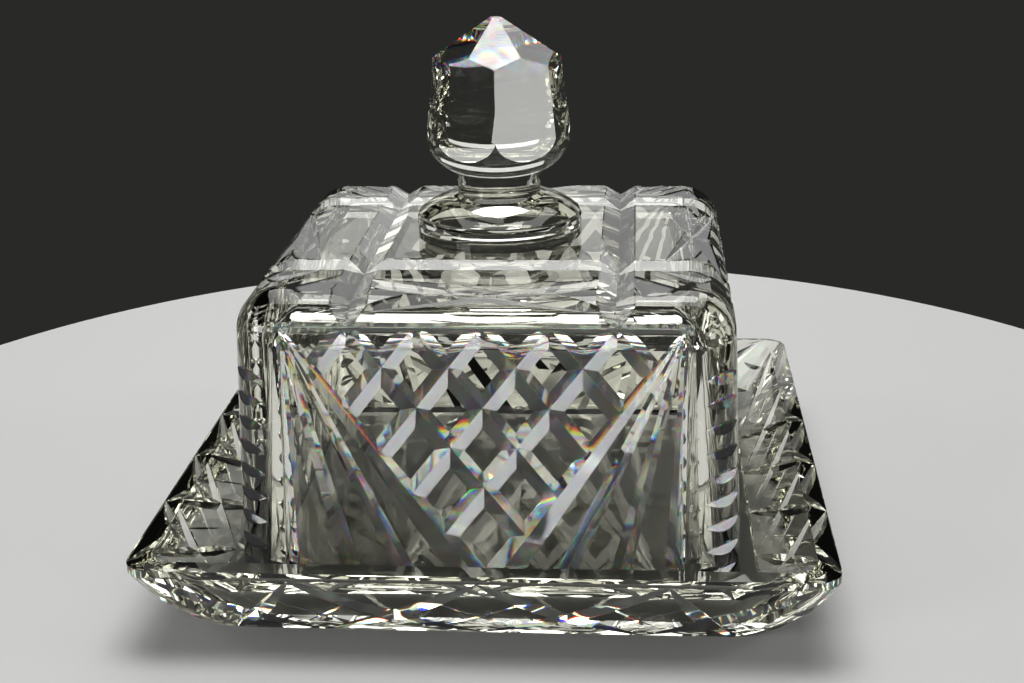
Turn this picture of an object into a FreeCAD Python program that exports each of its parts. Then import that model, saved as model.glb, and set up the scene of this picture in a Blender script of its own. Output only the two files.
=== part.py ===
"""Square cut-crystal butter dish: a shallow dish, a box-shaped cover and a seven-sided knob.

Millimetres, +Z up. The origin is under the middle of the dish, on the face that it stands on,
and -Y is the front. Each glass blank is a parametric body; the cutter's wheel work is a family
of V-shaped grooves that are worked out from the same sheet of sizes and then cut from it.
"""
import FreeCAD, Part
import math
import os

import Sketcher
from FreeCAD import Placement, Rotation, Vector

SIZES = [
    # dish
    ("dish_height", 21.0),
    ("floor_thickness", 7.0),
    ("cover_play", 4.0),
    ("well_flare", 12.5),
    ("rim_land", 5.0),
    ("rim_band", 2.0),
    ("rim_corner", 6.5),
    ("belly_inset", 4.4),
    ("belly_height", 8.8),
    ("belly_corner", 10.8),
    ("base_inset", 11.7),
    ("base_corner", 12.6),
    ("wall_cut_margin", 40.0),
    ("front_cut_peaks", 3.0),
    ("side_cut_peaks", 4.0),
    ("wall_cut_end_depth", 0.15),
    ("fine_cut_depth", 0.35),
    ("corner_cut_length", 25.0),
    ("corner_cut_depth", 1.5),
    # cover
    ("cover_width", 127.0),
    ("cover_height", 74.0),
    ("cover_corner", 13.0),
    ("cover_draft", 2.3),
    ("cover_wall", 8.0),
    ("cover_ceiling", 9.0),
    ("shoulder_radius", 11.0),
    ("hollow_corner", 8.0),
    ("hollow_draft", 2.6),
    ("hollow_round", 7.0),
    ("grid_inset", 31.5),
    ("grid_depth", 2.6),
    ("shoulder_line_depth", 0.8),
    ("fan_drop", 7.2),
    ("fan_inset", 15.0),
    ("fan_rays", 4.0),
    ("fan_gap", 3.0),
    ("fan_pitch", 14.2),
    ("fan_splay", 2.0),
    ("fan_start_depth", 0.35),
    ("fan_inner_depth", 2.6),
    ("fan_outer_depth", 1.5),
    ("lattice_columns", 6.0),
    ("lattice_rise", 10.2),
    ("lattice_depth", 1.65),
    ("lattice_run_out", 2.0),
    ("band_cut_margin", 2.0),
    ("band_cut_inset", 11.5),
    ("corner_fan_spread", 16.0),
    ("corner_fan_depth", 0.3),
    ("ladder_rungs", 9.0),
    ("ladder_pitch", 6.3),
    ("ladder_depth", 1.4),
    # knob
    ("boss_radius", 22.0),
    ("boss_height", 2.1),
    ("foot_height", 4.2),
    ("foot_line", 1.6),
    ("foot_line_width", 0.7),
    ("foot_shoulder", 2.9),
    ("foot_step", 0.5),
    ("foot_dome", 5.0),
    ("foot_dome_round", 22.0),
    ("neck_cove", 1.5),
    ("neck_cove_rise", 0.6),
    ("neck_radius", 11.0),
    ("neck_height", 6.0),
    ("bulb_radius", 19.6),
    ("bulb_round", 11.0),
    ("bulb_height", 18.4),
    ("bulb_lean", 6.6),
    ("crown_height", 10.8),
    ("knob_tip", 1.5),
    ("knob_sides", 7.0),
    ("knob_turn", 2.8),
]

# Outlines that several pieces share, as formulas on the sizes.
RIM_HALF = "(@cover_width/2+@cover_play+@well_flare+@rim_land)"
BASE_HALF = "(%s-@base_inset)" % RIM_HALF
BELLY_HALF = "(%s-@belly_inset)" % RIM_HALF
BRIM = "(@dish_height-@rim_band)"
FAN_TOP = "(@cover_height-@fan_drop)"
FAN_OFFSET = "(@cover_width/2-@fan_inset)"
GRID_OFFSET = "(@cover_width/2-@grid_inset)"

WHEEL_HALF_ANGLE = math.radians(60.0)
SHARP_HALF_ANGLE = math.radians(50.0)
CLEAR_OF_GLASS = 2.0
CORNER_CUT_LEVELS = (0.2, 0.55)

# Where cuts lie on the rolled shoulder, in degrees from the wall (0) to the flat top (90).
SHOULDER_LINE_AT = 20.0
BAND_CUT_FACES = 62.0
BAND_CUT_FOOT = 38.0
GRID_STATIONS = ((18.0, 0.0), (32.0, 0.6), (50.0, 1.0), (70.0, 1.0), (90.0, 1.0))

# The cuts over an upper corner: how far their spread has opened where they start, and at the
# far and near ends of the line on which their foot is looked for.
FAN_OPENS_AT_START, FAN_OPENS_FAR, FAN_OPENS_NEAR = 0.2, 1.5, 0.5
FAN_FOOT_LEVEL = 0.7

# Where the lowest rung of a ladder lies, as a share of the pitch.
LADDER_STARTS_AT = 0.6

# How far down the rounding of the knob's bulb its flats reach, as a share of the rounding.
FLAT_FOOT_SHARE = 0.8

UP = Vector(0, 0, 1)
LEVEL = 1e-4
FLAT = 1e-7

os.makedirs("parts", exist_ok=True)
doc = FreeCAD.newDocument("butter_dish")
sheet = doc.addObject("Spreadsheet::Sheet", "sizes")
for row, (alias, number) in enumerate(SIZES, 1):
    sheet.set("A%d" % row, alias)
    sheet.set("B%d" % row, str(number))
    sheet.setAlias("B%d" % row, alias)
doc.recompute()


def size(formula):
    """The number that a formula on the sheet's sizes stands for."""
    return float(sheet.evalExpression(tied(formula)))


def tied(text):
    """A formula in the form that an object's expression needs: @name is a size of the sheet."""
    return text.replace("@", sheet.Name + ".")


# ---------------------------------------------------------------- sketches and bodies

def new_body(label):
    body = doc.addObject("PartDesign::Body", label)
    body.Label = label
    doc.recompute()
    return body


def new_sketch(body, name, plane, height="0"):
    """A sketch on one of the body's own origin planes, lifted along the plane's normal."""
    sketch = body.newObject("Sketcher::SketchObject", name)
    base = [item for item in body.Origin.OriginFeatures if item.Role == plane][0]
    sketch.AttachmentSupport = [(base, "")]
    sketch.MapMode = "FlatFace"
    if height != "0":
        sketch.setExpression("AttachmentOffset.Base.z", tied(height))
    return sketch


def draw_outline(sketch, corners, arcs=()):
    """A closed outline. Corners are pairs of formulas; arcs maps a corner's number to the radius
    of the arc that leaves it, positive where the arc turns to the left."""
    arcs = dict(arcs)
    points = [Vector(size(x), size(y), 0) for x, y in corners]
    count = len(points)
    for index, (here, there) in enumerate(zip(points, points[1:] + points[:1])):
        if index not in arcs:
            sketch.addGeometry(Part.LineSegment(here, there))
            continue
        radius = size(arcs[index])
        chord = there - here
        height = math.sqrt(radius ** 2 - chord.Length ** 2 / 4)
        centre = (here + there) * 0.5 + Vector(-chord.y, chord.x, 0).normalize() * height
        start = math.atan2(here.y - centre.y, here.x - centre.x)
        end = math.atan2(there.y - centre.y, there.x - centre.x)
        sketch.addGeometry(Part.ArcOfCircle(Part.Circle(centre, UP, radius), start, end))
    for index in range(count):
        sketch.addConstraint(Sketcher.Constraint("Coincident", index, 2, (index + 1) % count, 1))
    for index, (x, y) in enumerate(corners):
        if x == "0":
            sketch.addConstraint(Sketcher.Constraint("PointOnObject", index, 1, -2))
        else:
            place_point(sketch, "DistanceX", index, x, points[index].x)
        if y == "0":
            sketch.addConstraint(Sketcher.Constraint("PointOnObject", index, 1, -1))
        else:
            place_point(sketch, "DistanceY", index, y, points[index].y)
    for index, radius in arcs.items():
        number = sketch.addConstraint(Sketcher.Constraint("Radius", index, size(radius)))
        sketch.setExpression("Constraints[%d]" % number, tied(radius))


def place_point(sketch, kind, index, formula, value):
    number = sketch.addConstraint(Sketcher.Constraint(kind, -1, 1, index, 1, value))
    sketch.setExpression("Constraints[%d]" % number, tied(formula))


def rounded_square(body, name, half, corner, height="0"):
    """A square with rounded corners, drawn about the Z axis at a height."""
    far = "(%s)" % half
    near = "(%s-(%s))" % (half, corner)
    left, low = "-" + far, "-" + near
    corners = [(far, low), (far, near), (near, far), (low, far),
               (left, near), (left, low), (low, left), (near, left)]
    sketch = new_sketch(body, name, "XY_Plane", height)
    draw_outline(sketch, corners, {1: corner, 3: corner, 5: corner, 7: corner})
    return sketch


def add(body, kind, name, **settings):
    """A PartDesign feature. A text value is tied to the sheet; anything else is set as it is."""
    feature = body.newObject("PartDesign::" + kind, name)
    for key, setting in settings.items():
        if isinstance(setting, str):
            feature.setExpression(key, tied(setting))
        else:
            setattr(feature, key, setting)
    doc.recompute()
    return feature


def edges_at(feature, height):
    """The names of the edges that lie level at a height."""
    return ["Edge%d" % number for number, edge in enumerate(feature.Shape.Edges, 1)
            if abs(edge.BoundBox.ZMin - height) < LEVEL and abs(edge.BoundBox.ZMax - height) < LEVEL]


# ---------------------------------------------------------------- the cutter's grooves

def v_groove(stations, half_angle=WHEEL_HALF_ANGLE, lift=CLEAR_OF_GLASS):
    """The solid that a V-edged wheel takes out along a run of stations.

    A station is (point on the glass, outward direction, depth). The groove's bottom line joins
    the points sunk by their depths, and its two sides open outwards at half_angle.
    """
    run = (stations[-1][0] - stations[0][0]).normalize()
    rings = []
    for point, outward, depth in stations:
        side = run.cross(outward).normalize()
        spread = side * (lift + depth) * math.tan(half_angle)
        above = point + outward * lift
        rings.append((point - outward * depth, above + spread, above - spread))
    faces = [list(rings[0]), list(rings[-1])]
    for here, there in zip(rings, rings[1:]):
        for first, second in ((0, 1), (1, 2), (2, 0)):
            faces += panel(here[first], here[second], there[second], there[first])
    shell = Part.Shell([Part.Face(Part.makePolygon(face + face[:1])) for face in faces])
    solid = Part.Solid(shell)
    if solid.Volume < 0:
        solid.reverse()
    return solid


def panel(first, second, third, fourth):
    """Four corners as one flat face, or as two where they don't lie in a plane."""
    normal = (second - first).cross(third - first)
    if abs(normal.dot(fourth - first)) <= FLAT * normal.Length:
        return [[first, second, third, fourth]]
    return [[first, second, third], [first, third, fourth]]


def shoulder_clearance():
    """How far a groove's solid stands out where it chords across the rolled shoulder."""
    return CLEAR_OF_GLASS + size("@shoulder_radius") * (1 - math.cos(math.radians(45)))


def turned(solids, quarters):
    """Copies of the front's grooves, turned by quarter turns about the Z axis."""
    return [solid.rotated(Vector(), UP, 90.0 * quarters) for solid in solids]


def on_four_sides(solids):
    return [solid for side in range(4) for solid in turned(solids, side)]


def surface_point(shape, outside, inside):
    """The first point of the shape on the way from outside to inside."""
    inner = shape.common(Part.makeLine(outside, inside))
    return min((vertex.Point for vertex in inner.Vertexes), key=lambda point: (point - outside).Length)


def cut_glass(label, blank, grooves):
    """The blank with its grooves cut, as a boolean of the document."""
    tools = doc.addObject("Part::Feature", label + "_grooves")
    tools.Shape = grooves[0].multiFuse(grooves[1:])
    tools.Placement = Placement()
    piece = doc.addObject("Part::Cut", label)
    piece.Label = label
    piece.Base = blank
    piece.Tool = tools
    piece.Refine = False
    return piece


# ---------------------------------------------------------------- dish

def dish_blank():
    """The tray before cutting: a bellied wall lofted from the base to the rim, with a well."""
    body = new_body("dish_blank")
    base = rounded_square(body, "base_outline", BASE_HALF, "@base_corner")
    belly = rounded_square(body, "belly_outline", BELLY_HALF, "@belly_corner", "@belly_height")
    brim = rounded_square(body, "brim_outline", RIM_HALF, "@rim_corner", BRIM)
    add(body, "AdditiveLoft", "bellied_wall", Profile=base, Sections=[belly, brim], Ruled=False)
    add(body, "Pad", "rim_band_pad", Profile=brim, Length="@rim_band")
    floor = rounded_square(body, "floor_outline", "@cover_width/2+@cover_play",
                           "@cover_corner+@cover_play", "@floor_thickness")
    mouth = rounded_square(body, "mouth_outline", RIM_HALF + "-@rim_land", "@rim_corner", "@dish_height")
    add(body, "SubtractiveLoft", "well", Profile=floor, Sections=[mouth], Ruled=True)
    return body


def wall_net(rim_points, base_points, ends, outward, depth, lift):
    """Cuts down a wall from each rim point to the base points on either side of its own."""
    rim, base = ends
    grooves = []
    for number, across in enumerate(rim_points):
        for neighbour in (number - 1, number + 1):
            if 0 <= neighbour < len(base_points):
                stations = [(rim + Vector(across, 0, 0), outward, depth),
                            (base + Vector(base_points[neighbour], 0, 0), outward, depth)]
                grooves.append(v_groove(stations, SHARP_HALF_ANGLE, lift))
    return grooves


def wall_grooves(peaks):
    """The front wall's cuts: a net of deep ones that meet at peaks on the rim, and a fine net
    halfway between them that only grazes the belly."""
    rim_half, base_half, top = size(RIM_HALF), size(BASE_HALF), size(BRIM)
    run_in = rim_half - base_half
    outward = Vector(0, -top, -run_in).normalize()
    bulge = size(BELLY_HALF) - base_half - run_in * size("@belly_height") / top
    belly_rise = bulge * abs(outward.y)
    reach = rim_half - size("@wall_cut_margin")
    inner = [reach * (2 * peak / (peaks - 1) - 1) for peak in range(peaks)]
    rim_end = size(RIM_HALF + "-@rim_corner")
    base_end = size(BASE_HALF + "-@base_corner")
    rim_points = [-rim_end] + inner + [rim_end]
    base_points = [-base_end] + [across * base_half / rim_half for across in inner] + [base_end]
    ends = Vector(0, -rim_half, top), Vector(0, -base_half, 0)
    lift = CLEAR_OF_GLASS + bulge
    deep = wall_net(rim_points, base_points, ends, outward, size("@wall_cut_end_depth"), lift)
    fine = wall_net(halfway(rim_points), halfway(base_points), ends, outward,
                    size("@fine_cut_depth") - belly_rise, lift)
    return deep + fine


def halfway(points):
    """The middles between neighbouring points."""
    return [(here + there) / 2 for here, there in zip(points, points[1:])]


def corner_grooves(blank):
    """Two short cuts across the front right corner."""
    rim_half, base_half, top = size(RIM_HALF), size(BASE_HALF), size(BRIM)
    corner = Vector(1, -1, 0).normalize()
    facing = (corner * top - UP * (rim_half - base_half)).normalize()
    half_length = Vector(1, 1, 0).normalize() * (size("@corner_cut_length") / 2)
    grooves = []
    for level in CORNER_CUT_LEVELS:
        height = UP * top * level
        middle = surface_point(blank.Shape, corner * size("@cover_width*2") + height, height)
        grooves.append(v_groove([(middle - half_length, facing, size("@corner_cut_depth")),
                                 (middle + half_length, facing, size("@corner_cut_depth"))]))
    return grooves


def dish_grooves(blank):
    """The nets on the four walls and the short cuts round the four corners."""
    front, side = wall_grooves(int(size("@front_cut_peaks"))), wall_grooves(int(size("@side_cut_peaks")))
    return (turned(front, 0) + turned(side, 1) + turned(front, 2) + turned(side, 3)
            + on_four_sides(corner_grooves(blank)))


# ---------------------------------------------------------------- cover

def cover_blank():
    """The bell before cutting: a drafted box with a rolled shoulder, a boss and a hollow."""
    body = new_body("cover_blank")
    outline = rounded_square(body, "cover_outline", "@cover_width/2", "@cover_corner")
    box = add(body, "Pad", "cover_box", Profile=outline, Length="@cover_height")
    walls = ["Face%d" % number for number, face in enumerate(box.Shape.Faces, 1)
             if face.BoundBox.ZLength > LEVEL]
    ground = [item for item in body.Origin.OriginFeatures if item.Role == "XY_Plane"][0]
    drafted = add(body, "Draft", "wall_draft", Base=(box, walls), NeutralPlane=(ground, [""]),
                  Angle="@cover_draft")
    crest = edges_at(drafted, size("@cover_height"))
    add(body, "Fillet", "shoulder", Base=(drafted, crest), Radius="@shoulder_radius")
    boss = new_sketch(body, "boss_outline", "XY_Plane", "@cover_height")
    boss.addGeometry(Part.Circle(Vector(), UP, size("@boss_radius")))
    boss.addConstraint(Sketcher.Constraint("Coincident", 0, 3, -1, 1))
    number = boss.addConstraint(Sketcher.Constraint("Radius", 0, size("@boss_radius")))
    boss.setExpression("Constraints[%d]" % number, tied("@boss_radius"))
    add(body, "Pad", "boss", Profile=boss, Length="@boss_height")
    mouth = rounded_square(body, "mouth_outline", "@cover_width/2-@cover_wall", "@hollow_corner")
    ceiling = "@cover_height-@cover_ceiling"
    hollow = add(body, "Pocket", "hollow", Profile=mouth, Length=ceiling, Reversed=True)
    walls = ["Face%d" % number for number, face in enumerate(hollow.Shape.Faces, 1)
             if is_inner_wall(face, size(ceiling))]
    drafted = add(body, "Draft", "hollow_taper", Base=(hollow, walls), NeutralPlane=(ground, [""]),
                  Angle="@hollow_draft", Reversed=True)
    add(body, "Fillet", "hollow_shoulder", Base=(drafted, edges_at(drafted, size(ceiling))),
        Radius="@hollow_round")
    return body


def is_inner_wall(face, ceiling):
    """Whether a face is an upright one between the cover's edge and the hollow's ceiling."""
    box = face.BoundBox
    return box.ZLength > LEVEL and abs(box.ZMax - ceiling) < LEVEL


def wall_point(across, height):
    """A point of the front wall, by its place across and its height above the cover's edge."""
    inward = height * math.tan(math.radians(size("@cover_draft")))
    return Vector(across, inward - size("@cover_width/2"), height)


def shoulder_station(across, degrees, depth):
    """A station on the front shoulder. The angle goes from the wall's to 90 on the flat top."""
    radius, draft = size("@shoulder_radius"), math.radians(size("@cover_draft"))
    start = wall_point(across, size("@cover_height-@shoulder_radius"))
    centre = start + Vector(0, radius / math.cos(draft), 0)
    angle = math.radians(degrees)
    outward = Vector(0, -math.cos(angle), math.sin(angle))
    return (centre + outward * radius, outward, depth)


def wall_groove(start, end, depths, run_outs=(0.0, 0.0)):
    """A straight groove in the front wall. A run-out is the length over which it fades at an end."""
    draft = math.radians(size("@cover_draft"))
    outward = Vector(0, -math.cos(draft), math.sin(draft))
    length = math.hypot(end[0] - start[0], end[1] - start[1])

    def station(distance, depth):
        share = distance / length
        across = start[0] + (end[0] - start[0]) * share
        height = start[1] + (end[1] - start[1]) * share
        return (wall_point(across, height), outward, depth)

    stations = [station(run_outs[0], depths[0]), station(length - run_outs[1], depths[1])]
    if run_outs[0]:
        stations.insert(0, station(0.0, 0.0))
    if run_outs[1]:
        stations.append(station(length, 0.0))
    return v_groove(stations)


def fan_grooves():
    """Rays that open downwards from the two upper corners of a wall, the innermost the widest."""
    offset, top = size(FAN_OFFSET), size(FAN_TOP)
    last, pitch = offset - size("@fan_splay"), size("@fan_pitch")
    rays = [(size("@fan_gap/2"), size("@fan_inner_depth"))]
    rays += [(last - pitch * ray, size("@fan_outer_depth")) for ray in range(int(size("@fan_rays-1")))]
    grooves = []
    for foot, depth in rays:
        for side in (-1, 1):
            grooves.append(wall_groove((side * offset, top), (side * foot, 0.0),
                                       (size("@fan_start_depth"), depth)))
    return grooves


def lattice_grooves():
    """Two sets of slanting cuts between the innermost rays, which leave flat-topped diamonds."""
    offset, top = size(FAN_OFFSET), size(FAN_TOP)
    columns = int(size("@lattice_columns"))
    step = 2 * offset / columns
    slope = -2 * size("@lattice_rise") / step
    ray_slope = top / (offset - size("@fan_gap/2"))
    depth, run_out = size("@lattice_depth"), size("@lattice_run_out")
    grooves = []
    for column in range(1, columns):
        peak = -offset + column * step
        travel = ray_slope * (peak - offset) / (slope - ray_slope)
        for side in (-1, 1):
            start = (side * peak, top)
            end = (side * (peak + travel), top + slope * travel)
            grooves.append(wall_groove(start, end, (depth, depth), (run_out, run_out / 2)))
    return grooves


def band_grooves():
    """The line along the shoulder, and the long crossed cuts between it and the top's grid."""
    reach = size(GRID_OFFSET + "-@band_cut_margin")
    inset = size(GRID_OFFSET + "+@band_cut_inset")
    side = Vector(size("@cover_width/2-@cover_corner"), 0, 0)
    point, outward, depth = shoulder_station(0.0, SHOULDER_LINE_AT, size("@shoulder_line_depth"))
    grooves = [v_groove([(point - side, outward, depth), (point + side, outward, depth)])]
    facing = shoulder_station(0.0, BAND_CUT_FACES, 0.0)[1]
    for way in (-1, 1):
        high = Vector(-way * reach, -inset, size("@cover_height"))
        low = shoulder_station(way * reach, BAND_CUT_FOOT, 0.0)[0]
        grooves.append(v_groove([(high, facing, 0.0), (low, facing, 0.0)], lift=shoulder_clearance()))
    return grooves


def grid_groove():
    """One line of the grid on top, from shoulder to shoulder."""
    across, depth = size(GRID_OFFSET), size("@grid_depth")
    front = [shoulder_station(across, angle, share * depth) for angle, share in GRID_STATIONS]
    back = [(Vector(point.x, -point.y, point.z), Vector(0, -outward.y, outward.z), sunk)
            for point, outward, sunk in reversed(front)]
    return v_groove(front + back)


def corner_fan_grooves(blank):
    """Three cuts that fan out over an upper corner."""
    crest = UP * size("@cover_height")
    start = size(GRID_OFFSET + "+@grid_depth*2")
    end = size("@cover_width/2-@cover_corner/2")
    diagonal = Vector(1, -1, 0)
    outward = (diagonal + UP * 2).normalize()
    sideways = Vector(1, 1, 0).normalize()
    grooves = []
    for spread in (-1, 0, 1):
        lean = sideways * (spread * size("@corner_fan_spread"))
        high = diagonal * start + crest + lean * FAN_OPENS_AT_START
        low = surface_point(blank.Shape, (diagonal * end + crest) * 2 + lean * FAN_OPENS_FAR,
                            diagonal * end / 2 + crest * FAN_FOOT_LEVEL + lean * FAN_OPENS_NEAR)
        grooves.append(v_groove([(high, outward, 0.0), (low, outward, size("@corner_fan_depth"))],
                                lift=shoulder_clearance()))
    return grooves


def ladder_grooves(blank):
    """The ladder of short cuts down one upright corner."""
    across = Vector(1, 1, 0).normalize() * size("@cover_corner")
    facing = Vector(1, -1, 0).normalize()
    far, near = facing * size("@cover_width"), facing * size("@cover_width/4")
    pitch, depth = size("@ladder_pitch"), size("@ladder_depth")
    grooves = []
    for rung in range(int(size("@ladder_rungs"))):
        height = UP * pitch * (rung + LADDER_STARTS_AT)
        middle = surface_point(blank.Shape, far + height, near + height)
        grooves.append(v_groove([(middle - across, facing, depth), (middle + across, facing, depth)],
                                SHARP_HALF_ANGLE))
    return grooves


# ---------------------------------------------------------------- knob

def knob_body():
    """The knob from its foot up: a turned blank, flats round the bulb and a faceted crown."""
    body = new_body("knob")
    turned = new_sketch(body, "turned_outline", "XZ_Plane")
    rim, step_in = "@boss_radius", "@boss_radius-@foot_step"
    neck_foot = "(@foot_height+@foot_dome)"
    neck_top = "(%s+@neck_height)" % neck_foot
    widest = "(%s+sqrt(@bulb_round^2-(@neck_radius-@bulb_radius+@bulb_round)^2))" % neck_top
    top = "(%s+@bulb_height+@crown_height)" % widest
    corners = [("0", "0"), (step_in, "0"), (rim, "@foot_step"),
               (rim, "@foot_line-@foot_line_width/2"), (step_in, "@foot_line"),
               (rim, "@foot_line+@foot_line_width/2"), (rim, "@foot_shoulder"),
               (step_in, "@foot_shoulder+@foot_step"), (step_in, "@foot_height"),
               ("@neck_radius+@neck_cove", neck_foot + "-@neck_cove_rise"),
               ("@neck_radius", neck_foot), ("@neck_radius", neck_top),
               ("@bulb_radius", widest), ("@bulb_radius", top), ("0", top)]
    draw_outline(turned, corners, {8: "@foot_dome_round", 11: "@bulb_round"})
    axis = [item for item in body.Origin.OriginFeatures if item.Role == "Z_Axis"][0]
    add(body, "Revolution", "turned_blank", Profile=turned, ReferenceAxis=(axis, [""]), Angle=360.0)
    sides = int(size("@knob_sides"))
    flat_in = "(@bulb_radius*cos(180/@knob_sides))"
    lean = "tan(@bulb_lean)"
    run_down = "@bulb_round*%s" % FLAT_FOOT_SHARE
    flat_foot = "(%s-%s)" % (widest, run_down)
    far = "@bulb_radius*3"
    cut_facets(body, axis, "flat", sides, 0.5,
               [("(%s+%s*%s)" % (flat_in, run_down, lean), flat_foot), (far, flat_foot), (far, top),
                ("(%s-(@bulb_height+@crown_height)*%s)" % (flat_in, lean), top)])
    ridge = "(@bulb_radius-@bulb_height*%s/cos(180/@knob_sides))" % lean
    run_out = "(2*%s-@knob_tip)" % ridge
    low = "(%s-2*@crown_height)" % top
    cut_facets(body, axis, "crown", sides, 0.0, [("@knob_tip", top), (run_out, low), (far, low), (far, top)])
    body.setExpression("Placement.Base.z", tied("@floor_thickness+@cover_height+@boss_height"))
    return body


def cut_facets(body, axis, name, sides, half_step, corners):
    """One flat facet, cut by an outline seen from the side, and its copies round the axis."""
    outline = new_sketch(body, name + "_outline", "XZ_Plane")
    turn = size("@knob_turn") - 90.0 + half_step * 360.0 / sides
    outline.AttachmentOffset = Placement(Vector(), Rotation(Vector(0, 1, 0), turn))
    draw_outline(outline, corners)
    facet = add(body, "Pocket", name + "_facet", Profile=outline, Type=1, Midplane=True)
    ring = add(body, "PolarPattern", name + "_facets", Originals=[facet], Axis=(axis, [""]),
               Angle=360.0, Occurrences=sides)
    body.Tip = ring
    return ring


# ---------------------------------------------------------------- assembly

dish_glass = dish_blank()
dish = cut_glass("dish", dish_glass, dish_grooves(dish_glass))
cover_glass = cover_blank()
front_family = [grid_groove()] + fan_grooves() + lattice_grooves() + band_grooves()
front_family += corner_fan_grooves(cover_glass) + ladder_grooves(cover_glass)
cover = cut_glass("cover", cover_glass, on_four_sides(front_family))
cover.setExpression("Placement.Base.z", tied("@floor_thickness"))
knob = knob_body()
doc.recompute()

for item in doc.Objects:
    if "Invalid" in item.State or "Error" in item.State:
        raise RuntimeError("%s failed: %s" % (item.Label, item.State))
for piece in (dish, cover, knob):
    shape = piece.Shape
    if shape.isNull() or not shape.isValid() or len(shape.Solids) != 1:
        raise RuntimeError("%s is not one valid solid" % piece.Label)
    shape.exportStep(os.path.join("parts", piece.Label + ".step"))
    print("%-6s %9.1f mm3, %4d faces" % (piece.Label, shape.Volume, len(shape.Faces)))
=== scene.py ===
# %% [markdown]
# # A square cut-crystal butter dish
#
# The real object is three pieces of lead crystal: a shallow square dish, a box-shaped cover and
# a faceted knob that is fused to the cover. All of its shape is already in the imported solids,
# down to every groove that the cutter's wheel left, so this lesson is about glass: how light is
# bent, split and scattered by it, and how a room has to be lit so that it can be seen at all.
#
# Clear glass has no colour of its own. What is seen is the surroundings, folded over and over
# by the facets. So the lesson spends its effort on three things: a glass shader with the right
# bend for each colour of light, the marks that a grinding wheel leaves, and the lamps.

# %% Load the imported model
import math

import bpy
import numpy as np
from mathutils import Matrix, Vector


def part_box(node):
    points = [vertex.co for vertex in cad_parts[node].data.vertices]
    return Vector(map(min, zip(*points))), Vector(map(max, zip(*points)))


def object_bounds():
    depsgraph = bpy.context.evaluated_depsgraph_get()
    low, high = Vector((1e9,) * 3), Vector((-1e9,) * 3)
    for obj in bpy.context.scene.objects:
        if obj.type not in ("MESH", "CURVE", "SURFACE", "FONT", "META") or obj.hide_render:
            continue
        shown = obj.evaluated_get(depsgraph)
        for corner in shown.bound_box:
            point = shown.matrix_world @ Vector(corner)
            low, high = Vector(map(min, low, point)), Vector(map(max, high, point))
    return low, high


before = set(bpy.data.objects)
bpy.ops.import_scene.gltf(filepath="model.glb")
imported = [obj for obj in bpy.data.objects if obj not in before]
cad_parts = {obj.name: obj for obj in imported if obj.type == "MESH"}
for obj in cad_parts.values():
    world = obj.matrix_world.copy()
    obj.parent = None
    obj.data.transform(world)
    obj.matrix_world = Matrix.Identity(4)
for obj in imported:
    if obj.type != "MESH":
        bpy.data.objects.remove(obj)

CAD_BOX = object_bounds()
LOW, HIGH = CAD_BOX
DISH_LOW, DISH_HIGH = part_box("dish")
COVER_LOW, COVER_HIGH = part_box("cover")
KNOB_LOW, KNOB_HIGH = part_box("knob")
print("box", [round(v, 4) for v in (*LOW, *HIGH)])

# %% [markdown]
# ## Writing shader maths as Python
#
# A material is a small calculation that runs at every point of a surface. Wired up by hand it is
# a tangle of Math nodes, so this class wraps one socket and overloads the operators: `a * b + 1`
# then adds the nodes by itself. Everything that isn't arithmetic goes through `Tree.node`.

# %% A wrapper for sockets
class Value:
    """A socket of a node tree that can be added, multiplied and compared."""

    def __init__(self, tree, socket):
        self.tree = tree
        self.socket = socket

    def math(self, operation, *others):
        """Adds a Math node that works on this value and the others."""
        inputs = dict(enumerate((self, *others)))
        return self.tree.node("ShaderNodeMath", {"operation": operation}, inputs)["Value"]

    def __add__(self, other):
        return self.math("ADD", other)

    def __mul__(self, other):
        return self.math("MULTIPLY", other)

    def __sub__(self, other):
        return self.math("SUBTRACT", other)

    def __rsub__(self, other):
        return (self * -1.0) + other

    def __pow__(self, other):
        return self.math("POWER", other)

    __radd__ = __add__
    __rmul__ = __mul__

    def clamp(self):
        """Held between 0 and 1."""
        held = self.math("ADD", 0.0)
        held.socket.node.use_clamp = True
        return held

    def absolute(self):
        return self.math("ABSOLUTE")

    def larger(self, other):
        return self.math("MAXIMUM", other)

    def ramp(self, start, end):
        """0 below start, 1 above end, and a straight line between them."""
        return ((self - start) * (1.0 / (end - start))).clamp()


class Outputs:
    """The outputs of a node, each as a Value."""

    def __init__(self, tree, node):
        self.tree = tree
        self.shader_node = node

    def __getitem__(self, name):
        return Value(self.tree, self.shader_node.outputs[name])


class Tree:
    """The node tree of a new material."""

    def __init__(self, name):
        self.material = bpy.data.materials.new(name)
        self.material.use_nodes = True
        self.nodes = self.material.node_tree.nodes
        self.links = self.material.node_tree.links
        self.nodes.clear()

    def node(self, kind, settings=(), inputs=()):
        """Adds a node: its settings first, then the values or links of its sockets."""
        made = self.nodes.new(kind)
        for key, setting in dict(settings).items():
            setattr(made, key, setting)
        for key, value in dict(inputs).items():
            if isinstance(value, Value):
                self.links.new(value.socket, made.inputs[key])
            else:
                made.inputs[key].default_value = value
        return Outputs(self, made)

    def finish(self, shader):
        """Shows this shader on the surface and gives the material."""
        self.node("ShaderNodeOutputMaterial", inputs={"Surface": shader})
        return self.material


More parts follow.
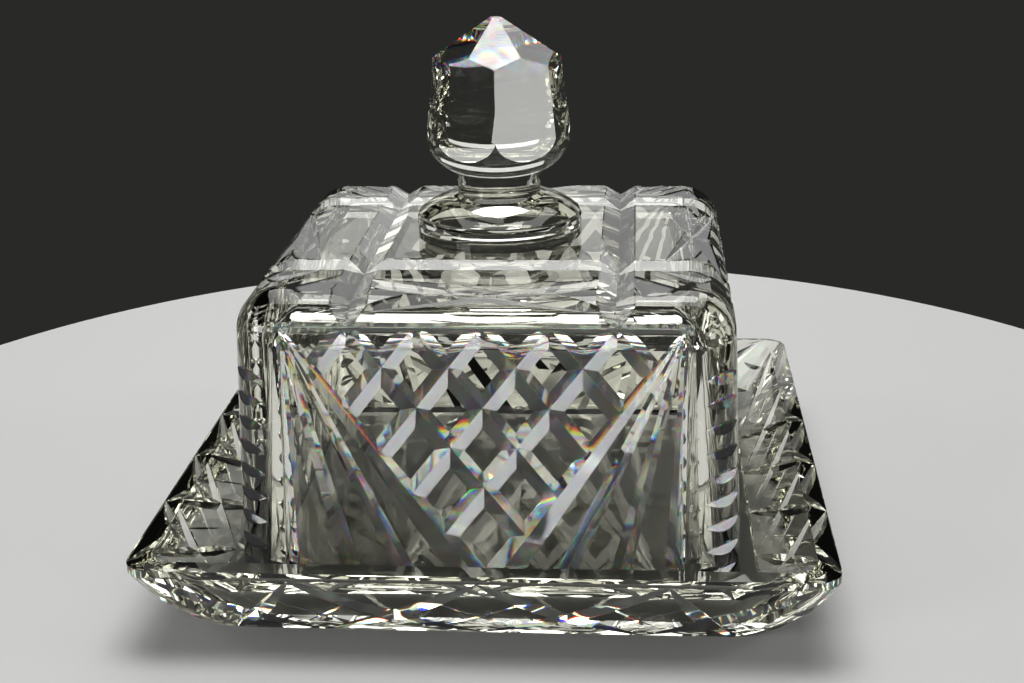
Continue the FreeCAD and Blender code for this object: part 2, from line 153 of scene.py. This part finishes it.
# %% [markdown]
# ## The crystal
#
# Lead crystal bends light by about 1.55, and blue light a little more than red. That small
# difference is what throws the orange and blue fringes over a cut pattern. A renderer traces
# plain white rays, so the split is made by hand: three glass shaders, one that lets only red
# through, one green and one blue, each with its own index and a third of the whole. As a third
# of the light has to stand for all of it, each is three times as strong. Where nothing bends the
# light much, the three land in the same place and the sum is clear again.
#
# A lamp's light can't find its way through glass by itself when a floor is being lit, because
# shadow rays go straight. So for those rays the glass is swapped for a thin grey tint. It is a
# dark one, because cut crystal sends most of the light that falls on it somewhere else.
#
# Where the wheel has ground the glass, a share of the surface stays satin: a little plain white
# scattering is mixed in, which is what lets a cut be seen from every side.

# %% Glass that splits colours
RED_INDEX, GREEN_INDEX, BLUE_INDEX = 1.540, 1.550, 1.562
ALL_RED, ALL_GREEN, ALL_BLUE = (3, 0, 0), (0, 3, 0), (0, 0, 3)
SHADOW_TINT = (0.31, 0.31, 0.30, 1.0)
CRYSTAL_COLOUR = (0.995, 0.995, 0.965)
SATIN_COLOUR = (0.90, 0.90, 0.90, 1.0)
CLEAR = (1.0, 1.0, 1.0, 1.0)


def glass_shader(tree, index, colour, roughness, normal):
    """Glass that bends light by its index and lets one colour through."""
    inputs = {"Color": (*colour, 1.0), "IOR": index, "Roughness": roughness, "Normal": normal}
    return tree.node("ShaderNodeBsdfGlass", {"distribution": "GGX"}, inputs)["BSDF"]


def passing_shader(tree, colour):
    """Lets light straight on through, tinted."""
    return tree.node("ShaderNodeBsdfTransparent", inputs={"Color": colour})["BSDF"]


def mix(tree, share, first, second):
    """The first shader, with the second one in its place by a share."""
    return tree.node("ShaderNodeMixShader", inputs={0: share, 1: first, 2: second})["Shader"]


def crystal_shader(tree, roughness, normal, splitting, satin=None, fused=None):
    """Glass that splits colours where the eye's ray first meets it, with a satin share in its cuts.

    Where it is fused to its neighbour there is no surface left, so rays pass straight on. No ray
    from the eye reaches such a face first, so only the later ones are asked.
    """
    red = glass_shader(tree, RED_INDEX, ALL_RED, roughness, normal)
    green = glass_shader(tree, GREEN_INDEX, ALL_GREEN, roughness, normal)
    blue = glass_shader(tree, BLUE_INDEX, ALL_BLUE, roughness, normal)
    split = mix(tree, 1 / 3, mix(tree, 1 / 2, red, green), blue)
    plain = glass_shader(tree, GREEN_INDEX, CRYSTAL_COLOUR, roughness, normal)
    path = tree.node("ShaderNodeLightPath")
    is_first = path["Ray Depth"].math("LESS_THAN", 0.5)
    glass = mix(tree, is_first * splitting, plain, split)
    if satin is not None:
        ground = tree.node("ShaderNodeBsdfDiffuse", inputs={"Color": SATIN_COLOUR, "Normal": normal})
        glass = mix(tree, satin, glass, ground["BSDF"])
    if fused is not None:
        joined = mix(tree, fused, glass, passing_shader(tree, CLEAR))
        glass = mix(tree, path["Is Camera Ray"], joined, glass)
    return mix(tree, path["Is Shadow Ray"], glass, passing_shader(tree, SHADOW_TINT))


# %% [markdown]
# ## What the wheel leaves
#
# The uncut glass is smooth and a touch wavy, as pressed glass is. The grooves were ground by a
# wheel and then polished in acid, so they keep a faint grain of parallel streaks and a softer
# shine.
#
# A shader has to find the cuts by itself. On the cover it works out how deep a point lies under
# the skin of the uncut box, whose shape is simple: anything just under the skin was cut. On the
# dish it compares the face's direction with the one that the uncut wall has there, and on the
# knob any face that leans is a cut one.

# %% Surface marks
WAVE_SCALE, WAVE_HEIGHT = 55.0, 0.00008
STREAK_SCALE, STREAK_HEIGHT, STREAK_STRETCH = 900.0, 0.0000008, (1.0, 1.0, 6.0)
POLISHED, GROUND = 0.002, 0.03  # roughness of the uncut glass, and what the streaks add to it


def noise(tree, place, scale, detail, roughness):
    """A cloudy pattern from 0 to 1."""
    inputs = {"Vector": place, "Scale": scale, "Detail": detail, "Roughness": roughness}
    return tree.node("ShaderNodeTexNoise", {"noise_dimensions": "3D"}, inputs)["Fac"]


def surface_marks(tree, groove_mask, grain=1.0):
    """Roughness and a bumped normal: broad waves all over, and fine streaks in the grooves."""
    place = tree.node("ShaderNodeTexCoord")["Object"]
    waves = noise(tree, place, WAVE_SCALE, detail=1.0, roughness=0.4)
    stretched = tree.node("ShaderNodeMapping", inputs={"Vector": place, "Scale": STREAK_STRETCH})["Vector"]
    streaks = noise(tree, stretched, STREAK_SCALE, detail=3.0, roughness=0.6)
    height = waves * WAVE_HEIGHT + streaks * groove_mask * (STREAK_HEIGHT * grain)
    bump = tree.node("ShaderNodeBump", inputs={"Strength": 1.0, "Distance": 1.0, "Height": height})
    roughness = groove_mask * (streaks * GROUND * grain) + POLISHED
    return roughness, bump["Normal"]


# %% Where a point lies and which way it faces
FUSED_RADIUS, FUSED_DEPTH = 0.0215, 0.00002
LEANING = (0.90, 0.97)


def object_place(tree):
    """The point's own X, Y and Z on the piece."""
    return tree.node("ShaderNodeSeparateXYZ", inputs={"Vector": tree.node("ShaderNodeTexCoord")["Object"]})


def object_facing(tree):
    """The face's direction on the piece, as X, Y and Z."""
    normal = tree.node("ShaderNodeNewGeometry")["Normal"]
    spaces = {"vector_type": "NORMAL", "convert_from": "WORLD", "convert_to": "OBJECT"}
    local = tree.node("ShaderNodeVectorTransform", spaces, {"Vector": normal})["Vector"]
    return tree.node("ShaderNodeSeparateXYZ", inputs={"Vector": local})


def straightness(facing):
    """1 where a face looks straight along X, Y or Z, and less the more it leans."""
    return facing["X"].absolute().larger(facing["Y"].absolute()).larger(facing["Z"].absolute())


def fused_mask(tree):
    """1 on the level faces where the knob's foot and the cover's boss meet."""
    place = object_place(tree)
    reach = (place["X"] ** 2.0 + place["Y"] ** 2.0).math("SQRT")
    level = (place["Z"] - KNOB_LOW.z).absolute().math("LESS_THAN", FUSED_DEPTH)
    return level * reach.math("LESS_THAN", FUSED_RADIUS)


def leaning_mask(tree):
    """1 where a face leans away from the upright and level directions."""
    return 1.0 - straightness(object_facing(tree)).ramp(*LEANING)


# %% Where the cover was cut
DRAFT_DEGREES, BOSS_RISE = 2.3, 0.0021
BOX_CORNER, BOX_SHOULDER = 0.013, 0.011
BOX_DRAFT = math.tan(math.radians(DRAFT_DEGREES))
BOX_TOP = COVER_HIGH.z - BOSS_RISE
CORNER_CENTRE = COVER_HIGH.x - BOX_CORNER
CUT_SKIN, CUT_CORE = (0.00005, 0.0002), (0.004, 0.005)


def cover_cut_mask(tree):
    """1 in the cover's grooves, from how deep a point lies under the uncut box's skin.

    Seen from above the skin is a square with round corners: the distance from the corners'
    centres, less their radius, which shrinks with the draft. That distance and the one from the
    top are then rolled into the shoulder in the same way.
    """
    place = object_place(tree)
    beyond_x = (place["X"].absolute() - CORNER_CENTRE).larger(0.0)
    beyond_y = (place["Y"].absolute() - CORNER_CENTRE).larger(0.0)
    radius = BOX_CORNER - (place["Z"] - COVER_LOW.z) * BOX_DRAFT
    from_wall = (beyond_x ** 2.0 + beyond_y ** 2.0).math("SQRT") - radius
    over_wall = (from_wall + BOX_SHOULDER).larger(0.0)
    over_top = (place["Z"] - (BOX_TOP - BOX_SHOULDER)).larger(0.0)
    depth = BOX_SHOULDER - (over_wall ** 2.0 + over_top ** 2.0).math("SQRT")
    above_edge = (place["Z"] - COVER_LOW.z).ramp(*CUT_SKIN)
    return depth.ramp(*CUT_SKIN) * (1.0 - depth.ramp(*CUT_CORE)) * above_edge


# %% Where the dish was cut
WALL_OUT, WALL_DOWN = Vector((0.85, 0.53)).normalized()  # the uncut wall's own direction
LIKE_WALL, NEVER_CUT = (0.86, 0.94), (0.95, 0.99)


def dish_cut_mask(tree):
    """1 in the dish's grooves, whose faces lean from the direction of the wall that they are in.

    A wall faces outwards and down: along X where the point is further out in X than in Y, and
    along Y elsewhere. Level and upright faces, such as the base and the rim, are never cut.
    """
    place, facing = object_place(tree), object_facing(tree)
    out_x, out_y = place["X"].absolute(), place["Y"].absolute()
    on_side = out_x.math("GREATER_THAN", out_y)
    outward_x = facing["X"] * place["X"].math("SIGN") * on_side
    outward_y = facing["Y"] * place["Y"].math("SIGN") * (1.0 - on_side)
    like_wall = ((outward_x + outward_y) * WALL_OUT - facing["Z"] * WALL_DOWN).absolute()
    return (1.0 - like_wall.ramp(*LIKE_WALL)) * (1.0 - straightness(facing).ramp(*NEVER_CUT))


# %% Finish the three pieces
WALL_SATIN, TOP_SATIN, DISH_SATIN = 0.09, 0.23, 0.07
DISH_SPLIT = 0.4
CROWN_HEIGHT, CROWN_FADE = 0.014, 0.004
DISH_GRAIN, KNOB_GRAIN = 0.5, 0.15


def finish_cover():
    """Satin cuts, more so on top. Only the cuts in the walls split colours."""
    tree = Tree("cover_crystal")
    cuts = cover_cut_mask(tree)
    on_top = object_place(tree)["Z"].ramp(BOX_TOP - BOX_SHOULDER, BOX_TOP - BOX_SHOULDER / 2)
    satin = cuts * (on_top * (TOP_SATIN - WALL_SATIN) + WALL_SATIN)
    splitting = cuts * (1.0 - on_top)
    roughness, bump = surface_marks(tree, cuts)
    return tree.finish(crystal_shader(tree, roughness, bump, splitting, satin, fused_mask(tree)))


def finish_dish():
    """Cuts that split some colour and are a little satin."""
    tree = Tree("dish_crystal")
    cuts = dish_cut_mask(tree)
    roughness, bump = surface_marks(tree, cuts, DISH_GRAIN)
    return tree.finish(crystal_shader(tree, roughness, bump, cuts * DISH_SPLIT, cuts * DISH_SATIN))


def finish_knob():
    """Polished all over, with colours in the crown's facets."""
    tree = Tree("knob_crystal")
    roughness, bump = surface_marks(tree, leaning_mask(tree), KNOB_GRAIN)
    crown_foot = KNOB_HIGH.z - CROWN_HEIGHT
    crown = object_place(tree)["Z"].ramp(crown_foot, crown_foot + CROWN_FADE)
    return tree.finish(crystal_shader(tree, roughness, bump, crown, fused=fused_mask(tree)))


for node, material in (("cover", finish_cover()), ("dish", finish_dish()), ("knob", finish_knob())):
    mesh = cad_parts[node].data
    for slot in range(len(mesh.materials)):
        mesh.materials[slot] = material
    print(node, "->", material.name)

# %% [markdown]
# ## The table and the room
#
# The dish stands on a plain pale table top. Beyond the table the studio is dark, because glass
# draws its edges with whatever contrast it can find: where everything around is pale, cut
# crystal all but disappears.
#
# A facet is a small mirror, so it is only bright where it finds a lamp. Two large soft ones hang
# overhead for the table and the roof, a pair stands in front for the knob and the fans, a pair at
# the sides for the ladders of notches, and two low strips carry the light down along one ray.

# %% The table
TABLE_RADIUS = 0.24
TABLE_COLOUR = (0.62, 0.62, 0.61, 1.0)
TABLE_ROUGHNESS, TABLE_DROP, TABLE_SEGMENTS = 0.6, 0.0002, 128


def build_table():
    """A level disc under the dish: points on a circle, joined to one in the middle."""
    turn = np.linspace(0.0, 2 * math.pi, TABLE_SEGMENTS, endpoint=False)
    rim = np.stack([np.cos(turn), np.sin(turn), np.zeros_like(turn)], axis=1) * TABLE_RADIUS
    points = np.vstack([rim, [[0.0, 0.0, 0.0]]])
    points[:, 2] += LOW.z - TABLE_DROP
    first = np.arange(TABLE_SEGMENTS)
    faces = np.stack([first, np.roll(first, -1), np.full_like(first, TABLE_SEGMENTS)], axis=1)
    mesh = bpy.data.meshes.new("table_top")
    mesh.from_pydata(points.tolist(), [], faces.tolist())
    table = bpy.data.objects.new("table_top", mesh)
    bpy.context.scene.collection.objects.link(table)
    tree = Tree("pale_table")
    paint = {"Base Color": TABLE_COLOUR, "Roughness": TABLE_ROUGHNESS}
    mesh.materials.append(tree.finish(tree.node("ShaderNodeBsdfPrincipled", inputs=paint)["BSDF"]))
    print("table top", TABLE_RADIUS, "m in radius")


build_table()

# %% The lamps and the room
MIDDLE = Vector((0.0, 0.0, HIGH.z / 2))
ROOM_COLOUR = (0.022, 0.022, 0.021, 1.0)
LAMPS = (  # name, place, width and height in metres, and power in watts
    ("left_softbox", (-0.68, -0.62, 0.28), (0.34, 0.24), 2.2),
    ("right_softbox", (0.70, -0.593, 0.13), (0.24, 0.20), 1.3),
    ("left_low_strip", (-0.668, -0.632, 0.132), (0.086, 0.070), 0.17),
    ("left_foot_strip", (-0.689, -0.610, 0.071), (0.120, 0.046), 0.15),
    ("left_high_softbox", (-0.82, 0.02, 0.42), (0.20, 0.16), 0.60),
    ("right_high_softbox", (0.82, 0.02, 0.42), (0.20, 0.16), 0.8),
    ("top_softbox", (0.0, 0.17, 0.88), (0.44, 0.30), 2.6),
    ("overhead_cloth", (0.0, 0.30, 0.94), (0.95, 0.98), 7.0),
    ("back_panel", (0.0, 0.85, 0.28), (1.0, 0.12), 0.30),
)


def add_lamp(name, place, size, power):
    """A soft rectangular lamp that faces the middle of the object."""
    lamp = bpy.data.lights.new(name, "AREA")
    lamp.shape = "RECTANGLE"
    lamp.size, lamp.size_y = size
    lamp.energy = power
    holder = bpy.data.objects.new(name, lamp)
    holder.location = place
    holder.rotation_mode = "QUATERNION"
    holder.rotation_quaternion = (MIDDLE - Vector(place)).to_track_quat("-Z", "Y")
    holder.visible_camera = False
    bpy.context.scene.collection.objects.link(holder)


for lamp_row in LAMPS:
    add_lamp(*lamp_row)
print(len(LAMPS), "lamps,", round(sum(row[-1] for row in LAMPS), 2), "watts")

world = bpy.data.worlds.new("studio")
world.use_nodes = True
background = world.node_tree.nodes["Background"]
background.inputs["Color"].default_value = ROOM_COLOUR
background.inputs["Strength"].default_value = 1.0
bpy.context.scene.world = world

# %% [markdown]
# ## The camera
#
# A long lens from a little above, turned slightly to the left, as when the dish stands on a
# table and is looked at across it.

# %% The camera
CAMERA_PLACE = Vector((0.0363, -0.4166, 0.1963))
CAMERA_PITCH, CAMERA_YAW, CAMERA_ROLL = (math.radians(v) for v in (19.373, -4.623, -1.136))
LENS, SENSOR, CLIP = 56.25, 36.0, (0.01, 10.0)

forward = Vector((math.sin(CAMERA_YAW) * math.cos(CAMERA_PITCH),
                  math.cos(CAMERA_YAW) * math.cos(CAMERA_PITCH), -math.sin(CAMERA_PITCH)))
level_right = Vector((math.cos(CAMERA_YAW), -math.sin(CAMERA_YAW), 0.0))
level_up = level_right.cross(forward)
right = level_right * math.cos(CAMERA_ROLL) + level_up * math.sin(CAMERA_ROLL)
up = level_up * math.cos(CAMERA_ROLL) - level_right * math.sin(CAMERA_ROLL)

camera_data = bpy.data.cameras.new("camera")
camera_data.lens, camera_data.sensor_width = LENS, SENSOR
camera_data.clip_start, camera_data.clip_end = CLIP
camera = bpy.data.objects.new("camera", camera_data)
turned = Matrix((right, up, -forward)).transposed().to_4x4()
camera.matrix_world = Matrix.Translation(CAMERA_PLACE) @ turned
bpy.context.scene.collection.objects.link(camera)
bpy.context.scene.camera = camera
print("camera looks along", [round(v, 3) for v in forward])

# %% [markdown]
# ## The last settings
#
# Light goes in and out of cut crystal many times before it leaves, so paths through glass are
# long. Sparkles that come from light focused on the table are left out, because they never
# settle.

# %% Settings and the end
scene = bpy.context.scene
scene.view_settings.view_transform = "Standard"
scene.cycles.caustics_reflective = False
scene.cycles.caustics_refractive = False
scene.cycles.sample_clamp_indirect = 4.0
scene.cycles.max_bounces = 32
scene.cycles.transmission_bounces = 32
scene.cycles.glossy_bounces = 12
scene.cycles.transparent_max_bounces = 32
